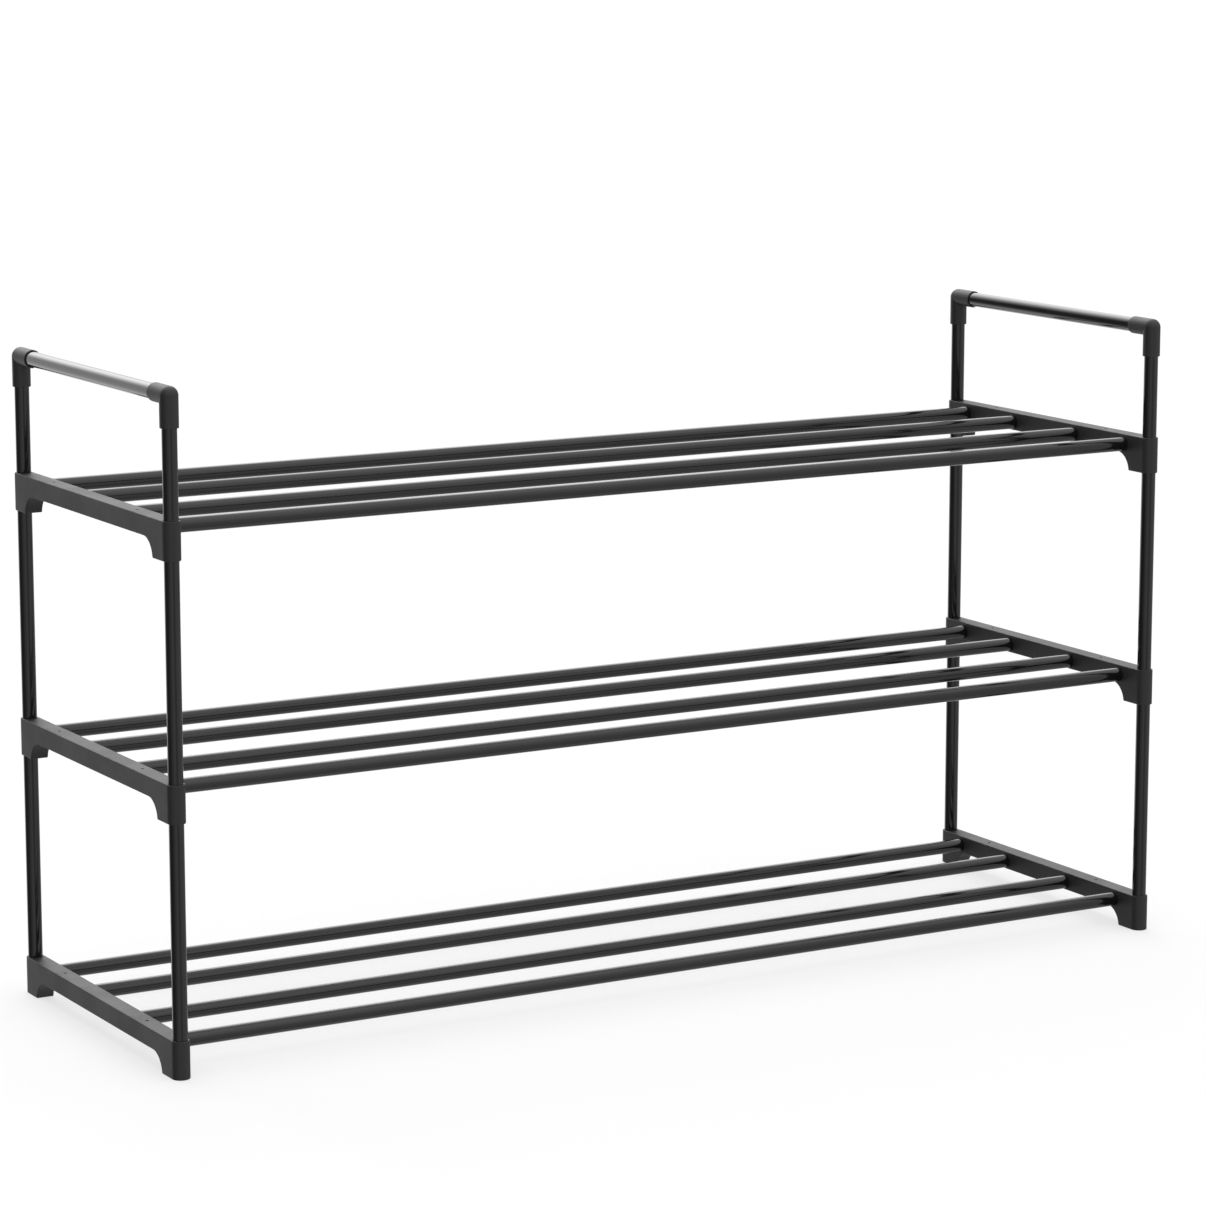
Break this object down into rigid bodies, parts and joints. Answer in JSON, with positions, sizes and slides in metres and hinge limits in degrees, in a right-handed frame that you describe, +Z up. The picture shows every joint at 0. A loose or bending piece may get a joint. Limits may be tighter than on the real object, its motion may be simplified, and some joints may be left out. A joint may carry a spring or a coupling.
{
  "type": "tiered shoe rack",
  "caption": "Free-standing stackable shoe rack: tubular metal shelves between moulded plastic side frames on round posts, with a tube carrying handle at each end.",
  "frame": {"origin": "on the floor, at the centre of the rack's footprint", "axes": "+X along the shelves from left to right, +Y from the front to the rear, +Z up"},
  "size_m": [0.92, 0.2998, 0.53],
  "materials": {
    "moulded_plastic": "black injection-moulded plastic with a fine matt texture",
    "post_coating": "gloss black coated steel tube, upright and handle tubes",
    "shelf_coating": "gloss black coated steel tube, shelf tubes"
  },
  "bodies": {
    "root": {"side_frame_lower_left": "moulded_plastic", "side_frame_lower_right": "moulded_plastic", "shelf_tube_lower_front": "shelf_coating", "shelf_tube_lower_mid_front": "shelf_coating", "shelf_tube_lower_mid_rear": "shelf_coating", "shelf_tube_lower_rear": "shelf_coating", "side_frame_middle_left": "moulded_plastic", "side_frame_middle_right": "moulded_plastic", "shelf_tube_middle_front": "shelf_coating", "shelf_tube_middle_mid_front": "shelf_coating", "shelf_tube_middle_mid_rear": "shelf_coating", "shelf_tube_middle_rear": "shelf_coating", "side_frame_upper_left": "moulded_plastic", "side_frame_upper_right": "moulded_plastic", "shelf_tube_upper_front": "shelf_coating", "shelf_tube_upper_mid_front": "shelf_coating", "shelf_tube_upper_mid_rear": "shelf_coating", "shelf_tube_upper_rear": "shelf_coating", "post_lower_front_left": "post_coating", "post_lower_front_right": "post_coating", "post_lower_rear_left": "post_coating", "post_lower_rear_right": "post_coating", "post_upper_front_left": "post_coating", "post_upper_front_right": "post_coating", "post_upper_rear_left": "post_coating", "post_upper_rear_right": "post_coating", "handle_post_front_left": "post_coating", "elbow_front_left": "moulded_plastic", "handle_post_front_right": "post_coating", "elbow_front_right": "moulded_plastic", "handle_post_rear_left": "post_coating", "elbow_rear_left": "moulded_plastic", "handle_post_rear_right": "post_coating", "elbow_rear_right": "moulded_plastic", "handle_bar_left": "post_coating", "handle_bar_right": "post_coating"}
  },
  "joints": []
}
